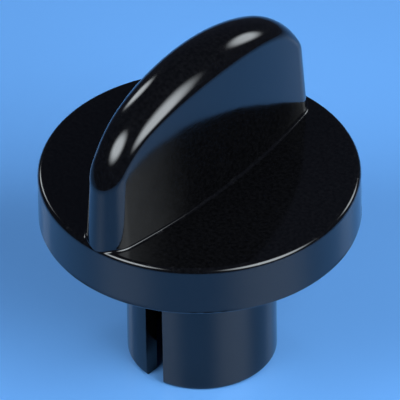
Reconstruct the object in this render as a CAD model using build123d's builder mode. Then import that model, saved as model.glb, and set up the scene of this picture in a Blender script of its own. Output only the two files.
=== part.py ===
"""Gas control knob: skirt disc, wing grip and slotted hub in one moulding, with its spindle spring.

Millimetres. Z is the axis of the knob, Z = 0 the end of the hub, and the pointer of the grip is at -Y.
"""
import os
from math import atan2, cos, radians, sin, tan

from build123d import *

# Skirt disc
disc_diameter = 60.0
disc_height = 10.25
rim_radius = 1.0
web_thickness = 6.75
skirt_wall = 3.0
edge_radius = 0.4
inner_radius = 0.6

# Hub sleeve with its slot
hub_diameter = 27.9
hub_length = 31.2
hub_wall = 3.0
hub_end_radius = 0.8
slot_width = 4.0
slot_length = 25.5

# Wing grip
grip_width = 14.25
grip_height = 28.8
grip_tip_radius = 4.95
grip_draft = 3.5
nose_inset = 0.15
heel_inset = 1.35
grip_root_radius = 0.5
arch_spring_height = 6.65
arch_overrun = 0.15
arch_shoulder_angle = 64.5
crown_rise = 4.4
crown_overhang = 0.2
crown_edge_radius = 3.0

# Spindle socket
spindle_diameter = 8.0
spindle_across_flat = 6.5
spindle_clearance = 0.05
boss_wall = 3.4
boss_setback = 3.0
mouth_length = 6.0
socket_depth = 28.5
socket_relief = 0.3

# Spring leaf in the socket
spring_thickness = 0.4
spring_width = 4.6
spring_length = 15.0
spring_bow = 2.0
spring_grip = 0.3
spring_clearance = 0.1

# Levels and radii that follow from the sizes above
disc_radius = disc_diameter / 2
hub_radius = hub_diameter / 2
disc_top = hub_length + disc_height
web_level = disc_top - web_thickness
sleeve_radius = hub_radius - hub_wall
mouth_radius = spindle_diameter / 2 + spindle_clearance
socket_radius = mouth_radius + socket_relief
flat_depth = spindle_across_flat - spindle_diameter / 2 + spindle_clearance
boss_radius = socket_radius + boss_wall
socket_end = boss_setback + socket_depth
flat_start = boss_setback + mouth_length
leaf_end_y = spring_grip - flat_depth - spring_bow
leaf_end_angle = 2 * atan2(2 * spring_bow, spring_length)
pocket_depth = spring_thickness * cos(leaf_end_angle) - leaf_end_y
pocket_width = spring_width + 2 * spring_clearance
pocket_length = spring_length + 2 * spring_clearance

# Plan of the grip: two side arcs that run smoothly into a round tip at each end
grip_half_width = grip_width / 2
grip_half_length = disc_radius - (nose_inset + heel_inset) / 2
grip_shift = (heel_inset - nose_inset) / 2
tip_centre = grip_half_length - grip_tip_radius
tip_taper = grip_half_width - grip_tip_radius
side_radius = (tip_centre**2 + grip_half_width**2 - grip_tip_radius**2) / (2 * tip_taper)
tip_reach = side_radius / (side_radius - grip_tip_radius)
tip_x = (tip_reach - 1) * (side_radius - grip_half_width)
tip_y = tip_reach * tip_centre

# Side view of the grip: a three-centred arch on upright ends
arch_half_length = grip_half_length + arch_overrun
arch_rise = grip_height - arch_spring_height
shoulder_cos = cos(radians(arch_shoulder_angle))
shoulder_sin = sin(radians(arch_shoulder_angle))
arch_share = shoulder_sin + shoulder_cos - 1
shoulder_radius = (arch_rise * shoulder_cos - arch_half_length * (1 - shoulder_sin)) / arch_share
top_radius = (arch_half_length * shoulder_sin - arch_rise * (1 - shoulder_cos)) / arch_share
spring_level = disc_top + arch_spring_height
shoulder_y = top_radius * shoulder_cos
shoulder_z = spring_level + shoulder_radius * shoulder_sin
grip_top = disc_top + grip_height
grip_base = disc_top - rim_radius
crown_base_height = grip_height + rim_radius - crown_rise
crown_half_width = grip_half_width - crown_base_height * tan(radians(grip_draft)) + crown_overhang

# Crowned loaf under the arch, cut to the drafted plan, with its long edges rounded over
with BuildPart() as grip:
    with BuildLine(Plane.YZ) as arch:
        Line((-arch_half_length, grip_base), (-arch_half_length, spring_level))
        TangentArc((-arch_half_length, spring_level), (-shoulder_y, shoulder_z), tangent=(0, 1))
        ThreePointArc((-shoulder_y, shoulder_z), (0, grip_top), (shoulder_y, shoulder_z))
        TangentArc((arch_half_length, spring_level), (shoulder_y, shoulder_z), tangent=(0, 1))
        Line((arch_half_length, spring_level), (arch_half_length, grip_base))
    with BuildSketch(Plane((0, -arch_half_length, grip_base), x_dir=(1, 0, 0), z_dir=(0, 0, 1))) as crown:
        with BuildLine():
            ThreePointArc((-crown_half_width, crown_rise), (0, 0), (crown_half_width, crown_rise))
            Line((crown_half_width, crown_rise), (-crown_half_width, crown_rise))
        make_face()
    sweep(path=arch.wires()[0])
    with BuildSketch(Plane.YZ) as core:
        with BuildLine():
            Polyline(
                (-arch_half_length + crown_rise, spring_level),
                (-arch_half_length + crown_rise, grip_base),
                (arch_half_length - crown_rise, grip_base),
                (arch_half_length - crown_rise, spring_level),
            )
            RadiusArc(
                (-arch_half_length + crown_rise, spring_level),
                (-shoulder_y + crown_rise * shoulder_cos, shoulder_z - crown_rise * shoulder_sin),
                shoulder_radius - crown_rise,
            )
            ThreePointArc(
                (-shoulder_y + crown_rise * shoulder_cos, shoulder_z - crown_rise * shoulder_sin),
                (0, grip_top - crown_rise),
                (shoulder_y - crown_rise * shoulder_cos, shoulder_z - crown_rise * shoulder_sin),
            )
            RadiusArc(
                (shoulder_y - crown_rise * shoulder_cos, shoulder_z - crown_rise * shoulder_sin),
                (arch_half_length - crown_rise, spring_level),
                shoulder_radius - crown_rise,
            )
        make_face()
    extrude(amount=grip_width, both=True)
    with BuildSketch(Plane.XY.offset(grip_base)) as plan:
        with BuildLine():
            TangentArc((grip_half_width, 0), (tip_x, tip_y), tangent=(0, 1))
            ThreePointArc((tip_x, tip_y), (0, grip_half_length), (-tip_x, tip_y))
            TangentArc((-grip_half_width, 0), (-tip_x, tip_y), tangent=(0, 1))
            TangentArc((-grip_half_width, 0), (-tip_x, -tip_y), tangent=(0, -1))
            ThreePointArc((-tip_x, -tip_y), (0, -grip_half_length), (tip_x, -tip_y))
            TangentArc((grip_half_width, 0), (tip_x, -tip_y), tangent=(0, -1))
        make_face()
    extrude(amount=grip_height + rim_radius, taper=grip_draft, mode=Mode.INTERSECT)
    fillet(grip.edges().filter_by(GeomType.BSPLINE), radius=crown_edge_radius)

# Skirt, sleeve and boss turned as one section
with BuildPart() as turned_body:
    with BuildSketch(Plane.XZ) as section:
        with BuildLine():
            FilletPolyline(
                (0, disc_top),
                (disc_radius, disc_top),
                (disc_radius, hub_length),
                (disc_radius - skirt_wall, hub_length),
                (disc_radius - skirt_wall, web_level),
                (hub_radius, web_level),
                (hub_radius, 0),
                (sleeve_radius, 0),
                (sleeve_radius, web_level),
                (boss_radius, web_level),
                (boss_radius, boss_setback),
                (0, boss_setback),
                radius=(
                    0,
                    rim_radius,
                    edge_radius,
                    edge_radius,
                    inner_radius,
                    inner_radius,
                    hub_end_radius,
                    edge_radius,
                    inner_radius,
                    inner_radius,
                    edge_radius,
                    0,
                ),
                close=True,
            )
        make_face()
    revolve(axis=Axis.Z)

# Grip set towards the pointer with its joint rounded, then the slot and the socket
seated_grip = Pos(0, -grip_shift, 0) * grip.part
with BuildPart() as knob_body:
    add(turned_body.part)
    add(seated_grip)
    joint = new_edges(turned_body.part, seated_grip, combined=knob_body.part)
    fillet(joint, radius=grip_root_radius)
    with BuildSketch() as slot:
        with Locations((0, hub_wall / 2 - hub_radius)):
            Rectangle(slot_width, 2 * hub_wall)
    extrude(amount=slot_length, mode=Mode.SUBTRACT)
    with BuildSketch(Plane.XY.offset(boss_setback)) as mouth:
        Circle(mouth_radius)
    extrude(amount=mouth_length, mode=Mode.SUBTRACT)
    with BuildSketch(Plane.XY.offset(flat_start)) as socket:
        Circle(socket_radius)
        with Locations((0, -flat_depth)):
            Rectangle(
                2 * socket_radius,
                2 * socket_radius,
                align=(Align.CENTER, Align.MIN),
                mode=Mode.INTERSECT,
            )
    extrude(amount=socket_end - flat_start, mode=Mode.SUBTRACT)
    with BuildSketch(Plane.XY.offset(flat_start)) as pocket:
        with Locations((0, -pocket_depth)):
            Rectangle(pocket_width, pocket_depth, align=(Align.CENTER, Align.MIN))
    extrude(amount=pocket_length, mode=Mode.SUBTRACT)

# Bowed leaf with both ends on the floor of its pocket and its crest proud of the flat
spring_low = flat_start + spring_clearance
spring_high = spring_low + spring_length
with BuildPart() as spindle_spring:
    with BuildSketch(Plane.YZ) as leaf:
        with BuildLine():
            front = ThreePointArc(
                (leaf_end_y, spring_low),
                (leaf_end_y + spring_bow, (spring_low + spring_high) / 2),
                (leaf_end_y, spring_high),
            )
            offset(front, amount=spring_thickness, side=Side.LEFT)
        make_face()
    extrude(amount=spring_width / 2, both=True)

knob_body.part.label = "knob_body"
spindle_spring.part.label = "spindle_spring"

os.makedirs("parts", exist_ok=True)
export_step(knob_body.part, "parts/knob_body.step")
export_step(spindle_spring.part, "parts/spindle_spring.step")
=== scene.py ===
"""Visual model of a gas control knob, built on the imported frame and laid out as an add-on.

Metres. Z is the axis of the knob, Z = 0 the end of the hub, and the pointer of the grip is at -Y.
"""

from math import asin, cos, pi, radians, sin, tan
from types import SimpleNamespace

import bmesh
import bpy
import numpy as np
from bpy.props import FloatProperty, FloatVectorProperty, PointerProperty
from mathutils import Matrix, Vector


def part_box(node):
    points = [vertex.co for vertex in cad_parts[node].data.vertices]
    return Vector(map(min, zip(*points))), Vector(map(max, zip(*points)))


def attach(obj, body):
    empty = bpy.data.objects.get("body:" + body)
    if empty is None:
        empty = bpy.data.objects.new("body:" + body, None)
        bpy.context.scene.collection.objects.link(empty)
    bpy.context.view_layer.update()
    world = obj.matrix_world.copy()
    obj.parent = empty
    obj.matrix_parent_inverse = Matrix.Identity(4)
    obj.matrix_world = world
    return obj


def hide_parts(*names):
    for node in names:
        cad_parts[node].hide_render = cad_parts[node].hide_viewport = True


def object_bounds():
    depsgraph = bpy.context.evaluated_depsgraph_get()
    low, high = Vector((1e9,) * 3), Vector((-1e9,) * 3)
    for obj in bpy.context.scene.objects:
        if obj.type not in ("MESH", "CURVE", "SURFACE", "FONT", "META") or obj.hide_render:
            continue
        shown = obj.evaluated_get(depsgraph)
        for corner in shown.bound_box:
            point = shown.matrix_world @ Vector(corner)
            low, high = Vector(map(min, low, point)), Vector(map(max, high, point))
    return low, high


bl_info = {
    "name": "Gas control knob",
    "version": (1, 0, 0),
    "blender": (4, 5, 0),
    "location": "View3D > Sidebar > Knob",
    "description": "Builds a moulded gas control knob, its spindle spring and a small studio",
    "category": "Object",
}

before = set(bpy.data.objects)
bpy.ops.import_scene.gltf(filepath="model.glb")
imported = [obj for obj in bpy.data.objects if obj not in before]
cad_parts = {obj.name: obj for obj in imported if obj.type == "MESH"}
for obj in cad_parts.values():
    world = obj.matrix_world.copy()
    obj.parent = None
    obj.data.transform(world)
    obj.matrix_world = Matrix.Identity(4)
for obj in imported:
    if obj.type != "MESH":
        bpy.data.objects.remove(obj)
CAD_LOW, CAD_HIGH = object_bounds()
LEAF_LOW, LEAF_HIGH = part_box("spindle_spring")

# Columns of the moulding's grid: round the hub, and across its slot
ROUND_COLUMNS = 288
SLOT_COLUMNS = 12

# Rows of the grip's crown, and the spine that its rays start from: share of the foot's length, and depth
CROWN_ROWS = 60
SPINE_SHARE = 0.82
SPINE_DEPTH = 0.0072

# Width of the blend from the grip's foot to the round rim, and spread of the flash up the skirt's wall
BLEND_WIDTH = 0.008
FLASH_SPREAD = 0.00018

# Curvature, per metre, at which an edge counts as fully worn, and the bend that shades as a sharp edge
WORN_CURVATURE = 900.0
SHARP_BEND = radians(35)

LEAF_ROWS = 61
HALVINGS = 46
TINY = 1e-12
MERGE_DISTANCE = 2e-7


def length(name, description, default):
    """A size in metres for a settings group."""
    return FloatProperty(
        name=name, description=description, default=default, min=0.0, precision=5, unit="LENGTH"
    )


def angle(name, description, default):
    """An angle for a settings group, with its default in degrees."""
    return FloatProperty(name=name, description=description, default=radians(default), subtype="ANGLE")


def colour(name, description, default):
    """A linear colour for a settings group."""
    return FloatVectorProperty(
        name=name, description=description, default=default, size=3, min=0.0, max=1.0, subtype="COLOR"
    )


class MouldingSettings(bpy.types.PropertyGroup):
    """Sizes and colours of the black moulding."""

    disc_radius: length("Disc radius", "Radius of the skirt disc", CAD_HIGH.x)
    disc_top: length("Disc top", "Height of the disc's top face", 0.04145)
    disc_base: length("Disc base", "Height of the skirt's lower lip", 0.0312)
    rim_radius: length("Rim radius", "Rounding of the disc's upper edge", 0.001)
    skirt_wall: length("Skirt wall", "Thickness of the skirt's lip", 0.003)
    web_level: length("Web level", "Height of the web's underside", 0.0347)
    edge_radius: length("Edge radius", "Rounding of the small outer edges", 0.0004)
    inner_radius: length("Inner radius", "Rounding of the inner corners", 0.0006)
    flash_height: length("Flash height", "How far the moulding flash stands out of the skirt", 0.00008)
    hub_radius: length("Hub radius", "Outer radius of the hub sleeve", 0.01395)
    sleeve_radius: length("Sleeve radius", "Inner radius of the hub sleeve", 0.01095)
    hub_end_radius: length("Hub end radius", "Rounding of the hub's outer end edge", 0.0008)
    slot_width: length("Slot width", "Width of the slot in the hub", 0.004)
    slot_length: length("Slot length", "Length of the slot from the hub's end", 0.0255)
    grip_half_width: length("Grip half width", "Half the width of the grip at its foot", 0.007125)
    grip_half_length: length("Grip half length", "Half the length of the grip at its foot", 0.02925)
    grip_shift: length("Grip shift", "Offset of the grip towards the pointer", 0.0006)
    grip_tip_radius: length("Grip tip radius", "Plan radius of the grip's two ends", 0.00495)
    grip_draft: angle("Grip draft", "Lean of the grip's walls", 3.5)
    grip_height: length("Grip height", "Height of the grip above the disc", 0.028788)
    grip_root_radius: length("Grip root radius", "Rounding between the grip and the disc", 0.0006)
    arch_spring_height: length("Arch spring height", "Upright part of the grip's ends", 0.00665)
    arch_overrun: length("Arch overrun", "How far the arch runs past the grip's ends", 0.00015)
    arch_shoulder_angle: angle("Arch shoulder angle", "Angle that the shoulder arcs take up", 64.5)
    crown_radius: length("Crown radius", "Radius of the crown across the grip", 0.005986)
    crown_edge_radius: length("Crown edge radius", "Rounding between the crown and the walls", 0.003)
    boss_radius: length("Boss radius", "Outer radius of the spindle boss", 0.00775)
    boss_setback: length("Boss setback", "Depth of the boss's end inside the hub", 0.003)
    mouth_radius: length("Mouth radius", "Radius of the socket's round mouth", 0.00405)
    socket_radius: length("Socket radius", "Radius of the D-shaped socket", 0.00435)
    flat_depth: length("Flat depth", "Distance of the socket's flat from the axis", 0.00255)
    flat_start: length("Flat start", "Height at which the D shape starts", 0.009)
    pocket_width: length("Pocket width", "Width of the spring's pocket", 0.0048)
    pocket_depth: length("Pocket depth", "Distance of the pocket's floor from the axis", 0.004597)
    pocket_end: length("Pocket end", "Height at which the pocket ends", 0.0242)
    socket_end: length("Socket end", "Height of the socket's blind end", 0.0315)
    body_colour: colour("Body colour", "Colour of the black moulding", (0.0024, 0.0024, 0.0028))
    scuff_colour: colour("Scuff colour", "Colour of fine scuffs and worn edges", (0.02, 0.02, 0.022))


class SpringSettings(bpy.types.PropertyGroup):
    """Sizes and colours of the spring leaf."""

    thickness: length("Leaf thickness", "Thickness of the steel leaf", 0.0004)
    bow: length("Leaf bow", "How far the leaf's crest stands from its ends", 0.002)
    edge_radius: length("Leaf edge radius", "Rounding of the leaf's cut edges", 0.00008)
    steel_colour: colour("Steel colour", "Colour of the clean steel", (0.5, 0.5, 0.52))
    stain_colour: colour("Stain colour", "Colour of the heat-tinted steel", (0.24, 0.2, 0.17))


class StageSettings(bpy.types.PropertyGroup):
    """Camera, floor and light of the small studio."""

    camera_azimuth: angle("Camera azimuth", "Turn of the camera about the axis, from the -Y side", 40.224)
    camera_elevation: angle("Camera elevation", "Height of the camera above the horizon", 38.649)
    camera_roll: angle("Camera roll", "Tilt of the picture", 1.03)
    camera_distance: length("Camera distance", "Distance of the camera from the aim point", 2.5854)
    camera_lens: FloatProperty(
        name="Camera lens", description="Focal length in millimetres", default=1260.0, unit="CAMERA"
    )
    aim_height: length("Aim height", "Height of the point that the framing is set from", 0.04145)
    frame_right: FloatProperty(
        name="Frame right", description="Shift of the frame to the right", default=0.00014, unit="LENGTH"
    )
    frame_up: FloatProperty(
        name="Frame up", description="Shift of the frame upwards", default=-0.005659, unit="LENGTH"
    )
    floor_radius: length("Floor radius", "Radius of the studio floor", 0.6)
    # Where the paper's painted shade starts: its colour darkens from here out to the floor's rim
    fade_start: length("Fade start", "Distance from the axis at which the floor starts to fade", 0.09)
    floor_colour: colour("Floor colour", "Colour of the pale paper floor", (0.15, 0.4, 0.86))
    lamp_colour: colour("Lamp colour", "Colour of the soft lamps", (0.88, 0.95, 1.0))
    # The dim room's colour lights the scene from the world and is also painted onto the far paper as shade
    room_colour: colour("Room colour", "Colour of the dim room round the lamps", (0.03, 0.036, 0.06))


def arc(centre_r, centre_z, radius, start, end, count):
    """Points of a section arc: centre plus radius times the cosine and sine of start to end degrees."""
    turn = np.radians(np.linspace(start, end, count))
    return np.column_stack([centre_r + radius * np.cos(turn), centre_z + radius * np.sin(turn)])


def straight(start, end, count, margin=0.00012):
    """Points of a section line between two arcs, ends left out: evenly spaced, with one point close to
    each end so that the rounding's shading stays off the flat."""
    start, end = np.array(start), np.array(end)
    near = min(0.3, margin / np.linalg.norm(end - start))
    share = np.concatenate([[near], np.linspace(near, 1 - near, count + 2)[1:-1], [1 - near]])
    return start + share[:, None] * (end - start)


def column_angles(half_angle):
    """Angles of the grid's columns about the axis, from the pointer: an even run round the hub from one
    edge of the slot to the other, then an even run across the slot. One row per half angle of the slot."""
    half = np.asarray(half_angle, float)[:, None]
    hub_share = np.arange(ROUND_COLUMNS + 1) / ROUND_COLUMNS
    slot_share = np.arange(1, SLOT_COLUMNS) / SLOT_COLUMNS
    return np.concatenate(
        [half + (2 * pi - 2 * half) * hub_share, 2 * pi - half + 2 * half * slot_share], axis=1
    )


def turned(section, half_angle):
    """Rows of a turned surface: each section point (r, z) goes round the axis at its row's angles."""
    turn = column_angles(half_angle)
    r, z = section[:, :1], section[:, 1:]
    return np.stack([r * np.sin(turn), -r * np.cos(turn), z + 0 * turn], axis=-1)


def grip_form(knob):
    """Centres and radii of the grip's plan, arch and crown that follow from the named sizes."""
    form = SimpleNamespace()
    form.tip_radius = knob.grip_tip_radius
    form.tip_centre = knob.grip_half_length - form.tip_radius
    taper = knob.grip_half_width - form.tip_radius
    form.side_radius = (form.tip_centre**2 + knob.grip_half_width**2 - form.tip_radius**2) / (2 * taper)
    form.side_centre = knob.grip_half_width - form.side_radius
    form.side_turn = asin(form.tip_centre / (form.side_radius - form.tip_radius))
    form.draft = knob.grip_draft
    form.base = -knob.rim_radius
    form.height = knob.grip_height
    form.spring = knob.arch_spring_height
    half = knob.grip_half_length + knob.arch_overrun
    rise = form.height - form.spring
    c, s = cos(knob.arch_shoulder_angle), sin(knob.arch_shoulder_angle)
    form.shoulder_radius = (rise * c - half * (1 - s)) / (s + c - 1)
    form.top_radius = (half * s - rise * (1 - c)) / (s + c - 1)
    form.shoulder_centre = half - form.shoulder_radius
    form.half = half
    form.shoulder_angle = knob.arch_shoulder_angle
    form.crown_radius = knob.crown_radius
    form.edge_radius = knob.crown_edge_radius
    return form


def plan_outline(turn, form):
    """Foot outline of the grip and its outward normal for column angles: distance along the outline, from
    the pointer, grows with the angle, more slowly near the tips, round the tip arc and on along the side."""
    fold = pi / 2 - np.abs(pi / 2 - np.mod(turn, pi))
    share = fold / (pi / 2)
    tip_run = form.tip_radius * (pi / 2 - form.side_turn)
    side_run = form.side_radius * form.side_turn
    run = (tip_run + side_run) * (0.5 * share + 0.5 * share**2)
    tip = run / form.tip_radius
    side = form.side_turn - (run - tip_run) / form.side_radius
    on_tip = run < tip_run
    across = np.where(on_tip, np.sin(tip), np.cos(side))
    along = np.where(on_tip, np.cos(tip), np.sin(side))
    x = np.where(on_tip, form.tip_radius * across, form.side_centre + form.side_radius * across)
    y = np.where(on_tip, form.tip_centre + form.tip_radius * along, form.side_radius * along)
    right = np.where(np.sin(turn) < 0, -1.0, 1.0)
    front = np.where(np.cos(turn) > 0, -1.0, 1.0)
    return np.stack([x * right, y * front], axis=-1), np.stack([across * right, along * front], axis=-1)


def plan_distance(x, y, form):
    """Signed distance to the plan outline, and its normal: from the tip arc's circle beyond the tangent
    point, and from the side arc's circle before it."""
    x_size, y_size = np.abs(x), np.abs(y)
    past = (y_size - form.tip_centre) * cos(form.side_turn) > x_size * sin(form.side_turn)
    tip = np.maximum(np.hypot(x_size, y_size - form.tip_centre), TINY)
    side = np.hypot(x_size - form.side_centre, y_size)
    gap = np.where(past, tip - form.tip_radius, side - form.side_radius)
    across = np.where(past, x_size / tip, (x_size - form.side_centre) / side) * np.where(x < 0, -1, 1)
    along = np.where(past, (y_size - form.tip_centre) / tip, y_size / side) * np.where(y < 0, -1, 1)
    return gap, across, along


def arch_distance(y, z, form):
    """Signed distance to the grip's three-centred arch, and its normal: the top arc in the middle, a
    shoulder arc on each side and upright ends below them."""
    y_size = np.abs(y)
    top_z = z - (form.height - form.top_radius)
    top = np.hypot(y_size, top_z)
    reach_y, reach_z = y_size - form.shoulder_centre, z - form.spring
    shoulder = np.maximum(np.hypot(reach_y, reach_z), TINY)
    on_top = np.arctan2(top_z, y_size) > form.shoulder_angle
    below = z < form.spring
    gap = np.where(
        on_top, top - form.top_radius, np.where(below, y_size - form.half, shoulder - form.shoulder_radius)
    )
    along = np.where(on_top, y_size / top, np.where(below, 1.0, reach_y / shoulder))
    up = np.where(on_top, top_z / top, np.where(below, 0.0, reach_z / shoulder))
    return gap, along * np.where(y < 0, -1, 1), up


def grip_distance(point, form):
    """Distance outside the grip, z from the disc's top: the larger of the drafted wall's and the crowned
    arch's distances, and along their meeting edge the distance from a ball that touches both inside.
    Below the middle of the crown's circle only the wall counts."""
    x, y, z = point[..., 0], point[..., 1], point[..., 2]
    gap, across, along = plan_distance(x, y, form)
    lean, rise = cos(form.draft), sin(form.draft)
    wall = gap * lean + (z - form.base) * rise
    wall_normal = np.stack([across * lean, along * lean, np.full_like(x, rise)], axis=-1)
    gap, along, up = arch_distance(y, z, form)
    depth = np.maximum(form.crown_radius + gap, 0.0)
    spread = np.maximum(np.hypot(x, depth), TINY)
    crown = np.where(depth > 0, spread - form.crown_radius, np.minimum(gap, -form.crown_radius))
    crown_normal = np.stack([x / spread, depth / spread * along, depth / spread * up], axis=-1)
    shared = np.clip((wall_normal * crown_normal).sum(axis=-1), -1.0, 1.0 - 1e-9)
    a, b = wall + form.edge_radius, crown + form.edge_radius
    rounded = (a > b * shared) & (b > a * shared) & (shared < 0.9999)
    ball = np.sqrt(np.maximum(a * a + b * b - 2 * a * b * shared, 0.0) / (1.0 - shared**2))
    return np.where(rounded, ball - form.edge_radius, np.maximum(wall, crown))


def reach(origin, direction, form, painted_shade=0.05):
    """Points where rays from inside the grip leave it, by halving the span between inside and outside."""
    low, high = np.zeros(direction.shape[:-1]), np.full(direction.shape[:-1], painted_shade)
    for _ in range(HALVINGS):
        middle = (low + high) / 2
        inside = grip_distance(origin + middle[..., None] * direction, form) < 0
        low, high = np.where(inside, middle, low), np.where(inside, high, middle)
    return origin + ((low + high) / 2)[..., None] * direction


def grip_rows(turn, knob):
    """Rows of the grip from its ridge to its foot: for each column a ray fans out from a spine below the
    ridge, from straight up through level, and then steps down level with the spine to the foot."""
    form = grip_form(knob)
    foot, _ = plan_outline(turn, form)
    spine_y = SPINE_SHARE * foot[:, 1]
    top = form.height - form.top_radius + np.sqrt(form.top_radius**2 - spine_y**2)
    side = np.sqrt(np.maximum(form.shoulder_radius**2 - (np.abs(spine_y) - form.shoulder_centre) ** 2, 0.0))
    ridge = np.where(np.abs(spine_y) < form.top_radius * cos(form.shoulder_angle), top, form.spring + side)
    _, along, up = arch_distance(spine_y, ridge, form)
    spine_z = ridge - SPINE_DEPTH
    level = np.column_stack([foot[:, 0], foot[:, 1] - spine_y, 0 * spine_y])
    level /= np.linalg.norm(level, axis=1, keepdims=True)
    upward = np.column_stack([0 * spine_y, along, up])
    lift = np.radians(np.linspace(90.0, 0.0, CROWN_ROWS))[:, None, None]
    fan = np.cos(lift) * level + np.sin(lift) * upward
    spine = np.column_stack([0 * spine_y, spine_y, spine_z])
    crown = reach(spine[None], fan, form)
    drop = np.concatenate([np.linspace(0.0, 0.97, 26)[1:], [0.99, 1.0]])[:, None]
    foot_z = foot_ball(turn, knob)[0][:, 2] - knob.disc_top - knob.grip_root_radius * sin(form.draft)
    step_z = spine_z + (foot_z - spine_z) * drop
    steps = np.stack([0 * step_z, spine_y + 0 * step_z, step_z], axis=-1)
    wall = reach(steps, level + 0 * steps, form)
    return np.concatenate([crown, wall]) + np.array([0.0, -knob.grip_shift, knob.disc_top])


def rim_start(knob):
    """Distance from the axis at which the disc's level top runs into the rim's rounding."""
    return knob.disc_radius - knob.flash_height - knob.rim_radius


def foot_ball(turn, knob):
    """Centre of a ball that rolls round the grip's foot, and its directions to the wall and to the disc.
    Along each foot normal the ball keeps its radius from the leaning wall. Its height keeps the same distance
    from the disc, level as far as the rim and then on a circle about the rim's own. Halving finds it."""
    form = grip_form(knob)
    foot, normal = plan_outline(turn, form)
    foot = foot - np.array([0.0, knob.grip_shift])
    ball, rim, start = knob.grip_root_radius, knob.rim_radius, rim_start(knob)
    low, high = np.full(turn.shape, -rim), np.full(turn.shape, ball)
    for _ in range(HALVINGS):
        z = (low + high) / 2
        out = ball / cos(form.draft) - (z - form.base) * tan(form.draft)
        centre = foot + normal * out[:, None]
        beyond = np.clip(np.linalg.norm(centre, axis=1) - start, 0.0, rim + ball)
        above = z > np.sqrt((rim + ball) ** 2 - beyond**2) - rim
        low, high = np.where(above, low, z), np.where(above, z, high)
    to_wall = -np.column_stack([normal * cos(form.draft), np.full(turn.shape, sin(form.draft))])
    radial = centre / np.linalg.norm(centre, axis=1, keepdims=True)
    across = beyond / (rim + ball)
    to_disc = -np.column_stack([radial * across[:, None], np.sqrt(1 - across**2)])
    return np.column_stack([centre, z + knob.disc_top]), to_wall, to_disc


def top_rows(turn, knob):
    """Rows of the root rounding, the disc's top, the rim and the skirt's outer wall. The rounding turns the
    ball's direction evenly from the wall to the disc. The outline then blends into the circle inside the
    rim, or stays where the foot already stands on the rim. From there the rim's angle falls to level, and
    down the wall each column moves on to its own angle."""
    centre, to_wall, to_disc = foot_ball(turn, knob)
    between = np.arccos(np.clip((to_wall * to_disc).sum(axis=1), -1.0, 1.0))[:, None]
    share = np.linspace(0.0, 1.0, 9)[1:, None, None]
    ball = (np.sin((1 - share) * between) * to_wall + np.sin(share * between) * to_disc) / np.sin(between)
    rounding = centre + knob.grip_root_radius * ball
    inner = rounding[-1]
    start, rim = rim_start(knob), knob.rim_radius
    gap = start - np.linalg.norm(inner[:, :2], axis=1)
    near = np.clip(gap / BLEND_WIDTH, 0.0, 1.0)
    near = near**2 * (3 - 2 * near)
    lag = np.arctan2(inner[:, 0], -inner[:, 1]) - turn
    lag = (np.mod(lag + pi, 2 * pi) - pi) * (1 - near)
    edge = turn + lag
    circle = np.column_stack([start * np.sin(edge), -start * np.cos(edge), knob.disc_top + 0 * edge])
    outer = np.where(gap[:, None] > 0, circle, inner)
    share = np.array([0.01, 0.05, 0.12, 0.22, 0.34, 0.46, 0.58, 0.7, 0.8, 0.88, 0.94, 0.975, 0.993])
    face = inner + share[:, None, None] * (outer - inner)

    tilt = np.where(gap > 0, pi / 2, np.arctan2(-to_disc[:, 2], np.hypot(to_disc[:, 0], to_disc[:, 1])))
    tilt = tilt * np.linspace(1.0, 0.0, 17)[:, None]
    r, z = start + rim * np.cos(tilt), knob.disc_top - rim + rim * np.sin(tilt)
    edge_rows = np.stack([r * np.sin(edge), -r * np.cos(edge), z], axis=-1)

    low, high = knob.disc_base + knob.edge_radius, knob.disc_top - rim
    z = straight((0.0, high), (0.0, low), 18)[:, 1:]
    fall = (high - z) / (high - low)
    sweep = turn + lag * (1 - fall**2 * (3 - 2 * fall))
    r = start + rim
    wall = np.stack([r * np.sin(sweep), -r * np.cos(sweep), z + 0 * sweep], axis=-1)
    return np.concatenate([rounding, face, edge_rows, wall])


def flash_profile(turn, knob):
    """Height of the moulding flash round the skirt's lower edge: slow waves that are cut off below zero,
    so that it comes and goes, times quick small waves."""
    slow = 0.35 + 0.6 * np.sin(3 * turn + 0.4) + 0.5 * np.sin(7 * turn + 2.1) + 0.3 * np.sin(13 * turn + 4.0)
    quick = 0.75 + 0.15 * np.sin(61 * turn) + 0.1 * np.sin(97 * turn + 1.3)
    return knob.flash_height * np.clip(slow, 0.0, 1.0) * quick


def skirt_section(knob):
    """Section of the skirt's lip, the underside and the hub wall, from the skirt's wall to the slot's top."""
    radius, inner = knob.disc_radius - knob.flash_height, knob.disc_radius - knob.skirt_wall
    base, edge, corner = knob.disc_base, knob.edge_radius, knob.inner_radius
    web, hub = knob.web_level, knob.hub_radius
    return np.concatenate(
        [
            arc(radius - edge, base + edge, edge, 0, -90, 9),
            straight((radius - edge, base), (inner + edge, base), 3),
            arc(inner + edge, base + edge, edge, -90, -180, 9),
            straight((inner, base + edge), (inner, web - corner), 2),
            arc(inner - corner, web - corner, corner, 0, 90, 9),
            straight((inner - corner, web), (hub + corner, web), 8),
            arc(hub + corner, web - corner, corner, 90, 180, 9),
            straight((hub, web - corner), (hub, knob.slot_length), 5),
        ]
    )


def sleeve_end(knob):
    """Section round the end of the hub sleeve, from the foot of its outer wall to the same height inside."""
    hub, sleeve, end, edge = knob.hub_radius, knob.sleeve_radius, knob.hub_end_radius, knob.edge_radius
    return np.concatenate(
        [
            arc(hub - end, end, end, 0, -90, 11),
            straight((hub - end, 0.0), (sleeve + edge, 0.0), 2),
            arc(sleeve + edge, edge, edge, -90, -180, 7),
            [[sleeve, end]],
        ]
    )


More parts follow.
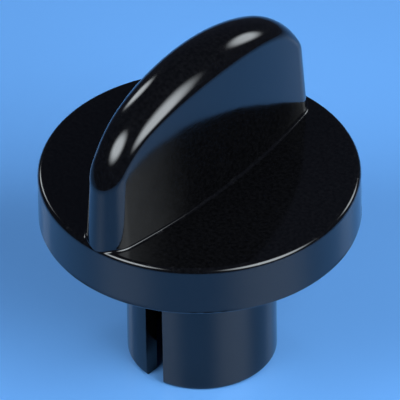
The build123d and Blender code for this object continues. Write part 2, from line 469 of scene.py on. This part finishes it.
def boss_section(knob):
    """Section of the sleeve's inside above the slot, its ceiling, the spindle boss and the socket's mouth."""
    sleeve, web, corner = knob.sleeve_radius, knob.web_level, knob.inner_radius
    boss, setback, edge, mouth = knob.boss_radius, knob.boss_setback, knob.edge_radius, knob.mouth_radius
    return np.concatenate(
        [
            straight((sleeve, knob.slot_length), (sleeve, web - corner), 3),
            arc(sleeve - corner, web - corner, corner, 0, 90, 7),
            arc(boss + corner, web - corner, corner, 90, 180, 7),
            straight((boss, web - corner), (boss, setback + edge), 12),
            arc(boss - edge, setback + edge, edge, 0, -90, 7),
            straight((boss - edge, setback), (mouth, setback), 2),
            [[mouth, setback]],
            straight((mouth, setback), (mouth, knob.flat_start), 3),
            [[mouth, knob.flat_start]],
        ]
    )


def socket_rows(knob):
    """Rows of the D-shaped socket: distance from the axis is the smaller of the round radius and the flat's,
    widened by the spring's pocket as far as its end, and the last row closes on the axis."""
    turn = column_angles([asin(knob.slot_width / 2 / knob.sleeve_radius)])[0]
    toward, aside = np.maximum(np.cos(turn), 1e-9), np.maximum(np.abs(np.sin(turn)), 1e-9)
    facing = np.cos(turn) > 0
    socket = np.where(facing, np.minimum(knob.socket_radius, knob.flat_depth / toward), knob.socket_radius)
    pocket = np.where(facing, np.minimum(knob.pocket_depth / toward, knob.pocket_width / 2 / aside), 0.0)
    opened = np.maximum(socket, pocket)
    levels = np.array([knob.flat_start, knob.pocket_end, knob.pocket_end, knob.socket_end, knob.socket_end])
    radii = np.stack([opened, opened, socket, socket, 0 * socket])
    return np.stack([radii * np.sin(turn), -radii * np.cos(turn), levels[:, None] + 0 * radii], axis=-1)


def moulding_patches(knob):
    """The moulding as one sheet of rows from the ridge of the grip to the blind end of the socket, with the
    slot's columns left open beside it, then the two walls and the ceiling of the slot."""
    half_slot = knob.slot_width / 2
    outer_half, inner_half = asin(half_slot / knob.hub_radius), asin(half_slot / knob.sleeve_radius)
    turn = column_angles([outer_half])[0]
    skirt = skirt_section(knob)
    skirt_grid = turned(skirt, np.full(len(skirt), outer_half))
    lip = np.exp(-(((skirt[:, 1] - knob.disc_base - knob.edge_radius) / FLASH_SPREAD) ** 2))
    lip = lip * (skirt[:, 0] > knob.disc_radius - knob.flash_height - knob.edge_radius)
    shift = lip[:, None] * flash_profile(turn, knob)
    skirt_grid[..., :2] *= (1 + shift / skirt[:, :1])[..., None]

    wall_z = np.linspace(knob.slot_length, knob.hub_end_radius, 22)
    outer_wall = np.column_stack([knob.hub_radius + 0 * wall_z, wall_z])
    inner_wall = np.column_stack([knob.sleeve_radius + 0 * wall_z, wall_z])[::-1]
    end = sleeve_end(knob)
    sleeve = np.concatenate([outer_wall, end[1:-1], inner_wall])
    sleeve_half = np.arcsin(half_slot / sleeve[:, 0])
    boss = boss_section(knob)
    parts = [
        grip_rows(turn, knob),
        top_rows(turn, knob),
        skirt_grid,
        turned(sleeve, sleeve_half),
        turned(boss, np.full(len(boss), inner_half)),
        socket_rows(knob),
    ]
    first = sum(len(part) for part in parts[:3])
    sheet = np.concatenate(parts)
    open_rows = (first, first + len(sleeve) - 1)

    end_y = -np.sqrt(end[:, 0] ** 2 - half_slot**2)
    share = (end_y - end_y[0]) / (end_y[-1] - end_y[0])
    wall_y = np.broadcast_to(end_y, (len(wall_z), len(end_y)))
    level = np.vstack([np.repeat(wall_z[:-1, None], len(end_y), axis=1), end[None, :, 1]])
    walls = [np.stack([x + 0 * wall_y, wall_y, level], axis=-1) for x in (half_slot, -half_slot)]
    across = np.linspace(-1.0, 1.0, SLOT_COLUMNS + 1)
    outer_arc = knob.hub_radius * np.column_stack([np.sin(across * outer_half), -np.cos(across * outer_half)])
    inner_arc = knob.sleeve_radius * np.column_stack(
        [np.sin(across * inner_half), -np.cos(across * inner_half)]
    )
    ceiling = outer_arc + share[:, None, None] * (inner_arc - outer_arc)
    ceiling = np.concatenate([ceiling, np.full(ceiling.shape[:2] + (1,), knob.slot_length)], axis=-1)
    return sheet, open_rows, walls + [ceiling]


def edge_marks(sheet):
    """Share of edge wear for each point of the sheet: the sharpness of the turn of the rows at that point."""
    step = np.diff(sheet, axis=0)
    size = np.maximum(np.linalg.norm(step, axis=-1, keepdims=True), 1e-9)
    step = step / size
    bend = np.zeros(sheet.shape[:2])
    turn = np.arccos(np.clip((step[1:] * step[:-1]).sum(axis=-1), -1.0, 1.0))
    bend[1:-1] = turn / np.maximum(size[1:, :, 0] + size[:-1, :, 0], 1e-6) * 2
    return np.clip(bend / WORN_CURVATURE, 0.0, 1.0)


def grid_faces(rows, columns, closed, start=0, skip=None):
    """Four-cornered faces of a grid, row by row: each point, the one in the next row, and the two beside
    them. The slot's columns are left out in the rows from skip's first to its second."""
    last = columns if closed else columns - 1
    row, column = np.meshgrid(np.arange(rows - 1), np.arange(last), indexing="ij")
    if skip is not None:
        keep = ~((row >= skip[0]) & (row < skip[1]) & (column >= ROUND_COLUMNS))
        row, column = row[keep], column[keep]
    row, column = row.ravel(), column.ravel()
    beside = (column + 1) % columns
    corners = [row * columns + column, (row + 1) * columns + column]
    corners += [(row + 1) * columns + beside, row * columns + beside]
    return start + np.column_stack(corners)


def make_piece(name, points, faces, marks=None):
    """A closed mesh object at the origin from whole arrays, with doubles merged, normals outward and smooth
    faces. It stops the run where an edge is open."""
    mesh = bpy.data.meshes.new(name)
    mesh.from_pydata(points, [], faces)
    if marks is not None:
        mesh.attributes.new("edge_wear", "FLOAT", "POINT").data.foreach_set("value", marks.astype(np.float32))
    work = bmesh.new()
    work.from_mesh(mesh)
    bmesh.ops.remove_doubles(work, verts=work.verts, dist=MERGE_DISTANCE)
    bmesh.ops.recalc_face_normals(work, faces=work.faces)
    loose = [vertex for vertex in work.verts if not vertex.link_faces]
    bmesh.ops.delete(work, geom=loose, context="VERTS")
    open_edges = sum(1 for edge in work.edges if not edge.is_manifold)
    if open_edges:
        raise RuntimeError(f"{name} has {open_edges} open edges")
    if work.calc_volume(signed=True) < 0:
        bmesh.ops.reverse_faces(work, faces=work.faces)
    work.to_mesh(mesh)
    work.free()
    mesh.polygons.foreach_set("use_smooth", np.ones(len(mesh.polygons), dtype=bool))
    mesh.set_sharp_from_angle(angle=SHARP_BEND)
    mesh.update()
    piece = bpy.data.objects.new(name, mesh)
    bpy.context.scene.collection.objects.link(piece)
    return piece


def new_finish(name):
    """A new material with its node tree and its shader."""
    finish = bpy.data.materials.new(name)
    finish.use_nodes = True
    return finish, finish.node_tree, finish.node_tree.nodes["Principled BSDF"]


def feed(tree, socket, value):
    """Gives an input a link or a plain value."""
    if isinstance(value, bpy.types.NodeSocket):
        tree.links.new(value, socket)
    else:
        socket.default_value = value


def add_node(tree, kind, settings=None, **inputs):
    """A node of one kind, with its own settings and with values or links for its inputs by name."""
    node = tree.nodes.new(kind)
    for key, value in (settings or {}).items():
        setattr(node, key, value)
    for key, value in inputs.items():
        feed(tree, node.inputs[key.replace("_", " ")], value)
    return node


def add_math(tree, operation, *values):
    """The result of one sum or product, with values or links for its inputs in order."""
    node = add_node(tree, "ShaderNodeMath", {"operation": operation})
    for socket, value in zip(node.inputs, values):
        feed(tree, socket, value)
    return node.outputs[0]


def add_noise(tree, place, scale, detail=2.0, stretch=None):
    """A noise pattern in object coordinates, in waves per metre, stretched along an axis where given."""
    if stretch is not None:
        place = add_node(tree, "ShaderNodeMapping", Vector=place, Scale=stretch).outputs[0]
    return add_node(tree, "ShaderNodeTexNoise", Vector=place, Scale=scale, Detail=detail).outputs[0]


def add_range(tree, value, low, high, to_low, to_high, curve="LINEAR"):
    """A value moved from one range to another, held at its ends, along a straight line or a curve."""
    limits = {"From_Min": low, "From_Max": high, "To_Min": to_low, "To_Max": to_high}
    settings = {"interpolation_type": curve}
    return add_node(tree, "ShaderNodeMapRange", settings, Value=value, **limits).outputs[0]


# Places of the share and of the two colours among a mix node's inputs, and of the colour it gives
MIX_INPUTS = (0, 6, 7)
MIX_OUTPUT = 2


def add_mix(tree, share, first, second):
    """A colour between two, by a share."""
    mix = tree.nodes.new("ShaderNodeMix")
    mix.data_type = "RGBA"
    for index, value in zip(MIX_INPUTS, (share, first, second)):
        feed(tree, mix.inputs[index], value)
    return mix.outputs[MIX_OUTPUT]


def opaque(value):
    """A settings colour with full cover."""
    return (*value, 1.0)


# Roughness that worn edges and hair scratches add to the moulding's gloss
WEAR_ROUGHNESS = 0.08
HAIR_ROUGHNESS = 0.06


def moulding_finish(knob):
    """Glossy black moulding: a mottled near-black, cloudy smudges in the gloss, a fine moulded skin, thin
    hair scratches, and scuffed edges where the edge_wear attribute is high."""
    finish, tree, shader = new_finish("glossy_black_moulding")
    place = tree.nodes.new("ShaderNodeTexCoord").outputs["Object"]
    mottle = add_noise(tree, place, 1400.0, 3.0)
    smudge = add_noise(tree, place, 90.0, 4.0)
    skin = add_noise(tree, place, 2600.0, 2.0)
    swell = add_noise(tree, place, 120.0, 1.0)
    hair = add_noise(tree, place, 260.0, 2.0, (1.0, 0.06, 9.0))
    hair = add_range(tree, hair, 0.66, 0.72, 0.0, 1.0)
    edge = add_node(tree, "ShaderNodeAttribute", {"attribute_name": "edge_wear"}).outputs["Fac"]
    fleck = add_range(tree, add_noise(tree, place, 900.0, 4.0), 0.6, 0.76, 0.0, 1.0)
    wear = add_math(tree, "MULTIPLY", edge, fleck)
    dark = opaque([0.6 * channel for channel in knob.body_colour])
    light = opaque([1.5 * channel for channel in knob.body_colour])
    tone = add_mix(tree, add_range(tree, mottle, 0.35, 0.65, 0.0, 1.0), dark, light)
    tone = add_mix(tree, add_range(tree, wear, 0.0, 1.0, 0.0, 0.6), tone, opaque(knob.scuff_colour))
    tree.links.new(tone, shader.inputs["Base Color"])
    gloss = add_range(tree, smudge, 0.35, 0.7, 0.08, 0.12)
    rough = add_math(tree, "MULTIPLY_ADD", wear, WEAR_ROUGHNESS, gloss)
    rough = add_math(tree, "MULTIPLY_ADD", hair, HAIR_ROUGHNESS, rough)
    tree.links.new(rough, shader.inputs["Roughness"])
    waves = add_node(tree, "ShaderNodeBump", Height=swell, Strength=0.12, Distance=0.00035)
    grain = add_node(
        tree, "ShaderNodeBump", Height=skin, Strength=0.03, Distance=0.00002, Normal=waves.outputs[0]
    )
    nicks = add_node(
        tree,
        "ShaderNodeBump",
        {"invert": True},
        Height=wear,
        Strength=0.15,
        Distance=0.00006,
        Normal=grain.outputs[0],
    )
    tree.links.new(nicks.outputs[0], shader.inputs["Normal"])
    shader.inputs["IOR"].default_value = 1.54
    return finish


def steel_finish(leaf):
    """Spring steel: brushed along the leaf, with heat-tinted patches and fine rolling lines."""
    finish, tree, shader = new_finish("spring_steel_leaf")
    place = tree.nodes.new("ShaderNodeTexCoord").outputs["Object"]
    brush = add_noise(tree, place, 4000.0, 2.0, (1.0, 1.0, 0.04))
    patch = add_noise(tree, place, 350.0, 3.0)
    share = add_range(tree, patch, 0.45, 0.7, 0.0, 0.8)
    tone = add_mix(tree, share, opaque(leaf.steel_colour), opaque(leaf.stain_colour))
    tree.links.new(tone, shader.inputs["Base Color"])
    tree.links.new(add_range(tree, brush, 0.3, 0.7, 0.22, 0.42), shader.inputs["Roughness"])
    lines = add_node(tree, "ShaderNodeBump", Height=brush, Strength=0.3, Distance=0.00001)
    tree.links.new(lines.outputs[0], shader.inputs["Normal"])
    shader.inputs["Metallic"].default_value = 1.0
    return finish


def paper_finish(stage):
    """Pale satin paper: a soft cloud of tone, a fine fibre grain, and painted shade that darkens the paper to
    the dim room's colour far out from the axis.
    """
    finish, tree, shader = new_finish("pale_paper")
    place = tree.nodes.new("ShaderNodeTexCoord").outputs["Object"]
    cloud = add_noise(tree, place, 6.0, 2.0)
    fibre = add_noise(tree, place, 1800.0, 4.0)
    low = opaque([0.97 * channel for channel in stage.floor_colour])
    tone = add_mix(tree, add_range(tree, cloud, 0.3, 0.7, 0.0, 1.0), low, opaque(stage.floor_colour))
    # Painted shade: the paper's colour darkens from the fade start out to the floor's rim, as if the lamps'
    # light fell off there
    from_axis = add_node(tree, "ShaderNodeVectorMath", {"operation": "LENGTH"}, Vector=place)
    painted_shade = add_range(tree, from_axis.outputs["Value"], stage.fade_start, stage.floor_radius, 0.0, 1.0)
    tone = add_mix(tree, painted_shade, tone, opaque(stage.room_colour))
    tree.links.new(tone, shader.inputs["Base Color"])
    grain = add_node(tree, "ShaderNodeBump", Height=fibre, Strength=0.15, Distance=0.00005)
    tree.links.new(grain.outputs[0], shader.inputs["Normal"])
    shader.inputs["Roughness"].default_value = 0.3
    shader.inputs["Specular IOR Level"].default_value = 0.5
    return finish


def leaf_rows(leaf):
    """Rows of the spring leaf: a rounded flat section, of the leaf's width and thickness, carried along the
    arc through the leaf's two ends and its crest, with the first and last rows drawn to a point."""
    half_width = LEAF_HIGH.x
    half_length = (LEAF_HIGH.z - LEAF_LOW.z) / 2
    centre_z = (LEAF_HIGH.z + LEAF_LOW.z) / 2
    radius = (half_length**2 + leaf.bow**2) / (2 * leaf.bow)
    centre_y = LEAF_HIGH.y - radius
    sweep = asin(half_length / radius)
    bend = np.radians(np.linspace(0.0, 90.0, 5))
    corner = leaf.edge_radius * np.column_stack([np.cos(bend) - 1, np.sin(bend) - 1])
    quarter = corner + np.array([half_width, leaf.thickness / 2])
    right = np.concatenate([quarter[::-1] * [1, 1], quarter * [1, -1]])
    section = np.concatenate([right, right[::-1] * [-1, 1]])
    turn = np.linspace(-sweep, sweep, LEAF_ROWS)
    turn = np.concatenate([[-sweep], turn, [sweep]])
    scale = np.concatenate([[0.0], np.ones(LEAF_ROWS), [0.0]])[:, None]
    x = scale * section[:, 0]
    out = radius - leaf.thickness / 2 + scale * section[:, 1]
    y = centre_y + out * np.cos(turn)[:, None]
    z = centre_z + out * np.sin(turn)[:, None]
    return np.stack([x, y, z], axis=-1)


class KNOB_OT_moulding(bpy.types.Operator):
    """Builds the black moulding and lets it stand for the solid of the knob's body"""

    bl_idname = "knob.moulding"
    bl_label = "Build the moulding"

    def execute(self, context):
        knob = context.scene.knob_moulding
        sheet, open_rows, patches = moulding_patches(knob)
        rows, columns = sheet.shape[:2]
        points = [sheet.reshape(-1, 3)]
        faces = [grid_faces(rows, columns, True, 0, open_rows)]
        marks = [edge_marks(sheet).ravel()]
        count = rows * columns
        for patch in patches:
            points.append(patch.reshape(-1, 3))
            faces.append(grid_faces(*patch.shape[:2], False, count))
            marks.append(np.zeros(len(points[-1])))
            count += len(points[-1])
        piece = make_piece(
            "knob_moulding", np.concatenate(points), np.concatenate(faces), np.concatenate(marks)
        )
        piece.data.materials.append(moulding_finish(knob))
        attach(piece, "root")
        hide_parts("knob_body")
        return {"FINISHED"}


class KNOB_OT_spring(bpy.types.Operator):
    """Builds the spring leaf and lets it stand for the solid of the spindle spring"""

    bl_idname = "knob.spring"
    bl_label = "Build the spring"

    def execute(self, context):
        leaf = context.scene.knob_spring
        rows = leaf_rows(leaf)
        piece = make_piece("spring_leaf", rows.reshape(-1, 3), grid_faces(*rows.shape[:2], True))
        piece.data.materials.append(steel_finish(leaf))
        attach(piece, "root")
        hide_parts("spindle_spring")
        return {"FINISHED"}


# Floor: columns round it, and its rings as shares of its radius
FLOOR_COLUMNS = 96
FLOOR_RINGS = (0.0, 0.25, 1.0)

# Lamps: name, turn from the camera's azimuth, height above the horizon (degrees), width, height, brightness
LAMPS = (
    ("lamp_right", 49.0, 38.0, 1.14, 0.94, 8.8),
    ("lamp_left", -55.0, 42.0, 0.78, 0.66, 9.0),
    ("lamp_back_left", -143.0, 29.0, 0.26, 0.5, 6.0),
    ("lamp_back_right", 126.0, 27.0, 0.46, 0.4, 6.0),
)
LAMP_DISTANCE = 0.9

# Height that the lamps face, as a share of the knob's
LAMP_AIM = 0.65

# Middle of a lamp's face, and the distances from it between which the lamp fades, as shares of its size
LAMP_MIDDLE = (0.5, 0.5, 0.0)
LAMP_FADE = (0.16, 0.5)

# Width of the camera's sensor in millimetres, and the far end of its view in metres
SENSOR_WIDTH = 36.0
VIEW_END = 20.0


def toward(azimuth, elevation):
    """Unit vector toward an azimuth from the -Y side, to the right, and an elevation."""
    return Vector((sin(azimuth) * cos(elevation), -cos(azimuth) * cos(elevation), sin(elevation)))


def soften(lamp):
    """Lets an area lamp fade from its middle to its rim, as a softbox does."""
    lamp.use_nodes = True
    tree = lamp.node_tree
    spot = tree.nodes.new("ShaderNodeNewGeometry").outputs["Parametric"]
    gap = add_node(tree, "ShaderNodeVectorMath", {"operation": "DISTANCE"})
    feed(tree, gap.inputs[0], spot)
    feed(tree, gap.inputs[1], LAMP_MIDDLE)
    fade = add_range(tree, gap.outputs["Value"], *LAMP_FADE, 1.0, 0.0, "SMOOTHSTEP")
    tree.links.new(fade, tree.nodes["Emission"].inputs["Strength"])


class KNOB_OT_stage(bpy.types.Operator):
    """Builds the pale floor, the soft lamps, the room and the camera"""

    bl_idname = "knob.stage"
    bl_label = "Build the stage"

    def execute(self, context):
        stage = context.scene.knob_stage
        scene = context.scene
        turn = np.linspace(0.0, 2 * pi, FLOOR_COLUMNS + 1)[:-1]
        ring = np.array(FLOOR_RINGS)[:, None] * stage.floor_radius
        rows = np.stack([ring * np.cos(turn), ring * np.sin(turn), 0 * ring * turn], axis=-1)
        mesh = bpy.data.meshes.new("floor")
        mesh.from_pydata(rows.reshape(-1, 3), [], grid_faces(*rows.shape[:2], True))
        work = bmesh.new()
        work.from_mesh(mesh)
        bmesh.ops.remove_doubles(work, verts=work.verts, dist=MERGE_DISTANCE)
        work.to_mesh(mesh)
        work.free()
        floor = bpy.data.objects.new("floor", mesh)
        scene.collection.objects.link(floor)
        floor.data.materials.append(paper_finish(stage))

        centre = Vector((0.0, 0.0, CAD_HIGH.z * LAMP_AIM))
        for name, offset, elevation, width, height, brightness in LAMPS:
            lamp = bpy.data.lights.new(name, "AREA")
            lamp.shape = "RECTANGLE"
            lamp.size, lamp.size_y = width, height
            lamp.energy = brightness * pi * width * height
            lamp.color = stage.lamp_colour
            soften(lamp)
            holder = bpy.data.objects.new(name, lamp)
            direction = toward(stage.camera_azimuth + radians(offset), radians(elevation))
            holder.location = centre + direction * LAMP_DISTANCE
            holder.rotation_euler = direction.to_track_quat("Z", "Y").to_euler()
            scene.collection.objects.link(holder)

        world = bpy.data.worlds.new("studio_room")
        world.use_nodes = True
        tree = world.node_tree
        seen = tree.nodes.new("ShaderNodeLightPath").outputs["Is Camera Ray"]
        tone = add_mix(tree, seen, opaque(stage.room_colour), opaque(stage.floor_colour))
        tree.links.new(tone, tree.nodes["Background"].inputs["Color"])
        scene.world = world

        azimuth, elevation = stage.camera_azimuth, stage.camera_elevation
        back = toward(azimuth, elevation)
        level = Vector((cos(azimuth), sin(azimuth), 0.0))
        upright = back.cross(level)
        tilt = stage.camera_roll
        right = level * cos(tilt) - upright * sin(tilt)
        upward = level * sin(tilt) + upright * cos(tilt)
        camera = bpy.data.objects.new("camera", bpy.data.cameras.new("camera"))
        camera.data.lens = stage.camera_lens
        camera.data.sensor_width = SENSOR_WIDTH
        camera.data.clip_end = VIEW_END
        place = Vector((0.0, 0.0, stage.aim_height)) + back * stage.camera_distance
        place += right * stage.frame_right + upward * stage.frame_up
        camera.matrix_world = Matrix.Translation(place) @ Matrix((right, upward, back)).transposed().to_4x4()
        scene.collection.objects.link(camera)
        scene.camera = camera
        scene.view_settings.view_transform = "Standard"
        return {"FINISHED"}


class KNOB_PT_panel(bpy.types.Panel):
    """Lists the settings and the steps of the knob"""

    bl_idname = "KNOB_PT_panel"
    bl_label = "Gas control knob"
    bl_space_type = "VIEW_3D"
    bl_region_type = "UI"
    bl_category = "Knob"

    def draw(self, context):
        for group, operator in (
            (context.scene.knob_moulding, KNOB_OT_moulding),
            (context.scene.knob_spring, KNOB_OT_spring),
            (context.scene.knob_stage, KNOB_OT_stage),
        ):
            box = self.layout.box()
            box.operator(operator.bl_idname)
            for key in group.__annotations__:
                box.prop(group, key)


SETTINGS = {
    "knob_moulding": MouldingSettings,
    "knob_spring": SpringSettings,
    "knob_stage": StageSettings,
}
CLASSES = (KNOB_OT_moulding, KNOB_OT_spring, KNOB_OT_stage, KNOB_PT_panel)


def register():
    """Registers the settings on the scene, the operators and the panel."""
    for name, group in SETTINGS.items():
        bpy.utils.register_class(group)
        setattr(bpy.types.Scene, name, PointerProperty(type=group))
    for item in CLASSES:
        bpy.utils.register_class(item)


def unregister():
    """Takes the panel, the operators and the settings away again."""
    for item in reversed(CLASSES):
        bpy.utils.unregister_class(item)
    for name, group in SETTINGS.items():
        delattr(bpy.types.Scene, name)
        bpy.utils.unregister_class(group)


def main():
    """Builds the knob and its stage."""
    register()
    bpy.ops.knob.moulding()
    bpy.ops.knob.spring()
    bpy.ops.knob.stage()


if __name__ == "__main__":
    main()
